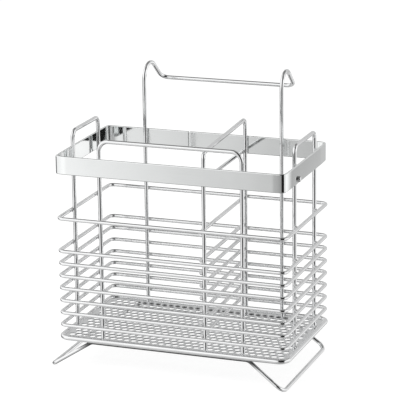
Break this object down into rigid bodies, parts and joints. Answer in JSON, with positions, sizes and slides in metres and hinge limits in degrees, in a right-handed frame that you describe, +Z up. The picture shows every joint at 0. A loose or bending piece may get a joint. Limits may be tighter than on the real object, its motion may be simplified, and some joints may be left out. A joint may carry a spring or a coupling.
{
  "type": "utensil drying rack",
  "caption": "Free-standing wire basket that drains kitchen utensils, with a flat rim band, a divider, a perforated floor, splayed wire feet and a rear hanger hook.",
  "frame": {"origin": "on the surface that the rack stands on, under the middle of the cage", "axes": "+X along the long front to the viewer's right, +Y from the front wall to the back wall, +Z up"},
  "size_m": [0.1716, 0.1231, 0.1955],
  "materials": {
    "polished_wire": "mirror-polished round steel wire, bright, with a faint drawing line along its length",
    "rim_strip": "mirror-polished flat steel strip",
    "pierced_sheet": "bright perforated steel sheet with soft rounded hole edges"
  },
  "bodies": {
    "root": {"base_frame": "polished_wire", "stand_wire": "polished_wire", "front_hoop": "polished_wire", "left_hoop": "polished_wire", "right_hoop": "polished_wire", "divider_hoop": "polished_wire", "hanger_hook": "polished_wire", "side_ring_1": "polished_wire", "side_ring_2": "polished_wire", "side_ring_3": "polished_wire", "side_ring_4": "polished_wire", "side_ring_5": "polished_wire", "side_ring_6": "polished_wire", "side_ring_7": "polished_wire", "side_ring_8": "polished_wire", "divider_wire_1": "polished_wire", "divider_wire_2": "polished_wire", "divider_wire_3": "polished_wire", "divider_wire_4": "polished_wire", "divider_wire_5": "polished_wire", "divider_wire_6": "polished_wire", "divider_wire_7": "polished_wire", "divider_tie_1": "polished_wire", "divider_tie_2": "polished_wire", "rim_band": "rim_strip", "band_rivet": "rim_strip", "floor_sheet": "pierced_sheet"}
  },
  "joints": []
}
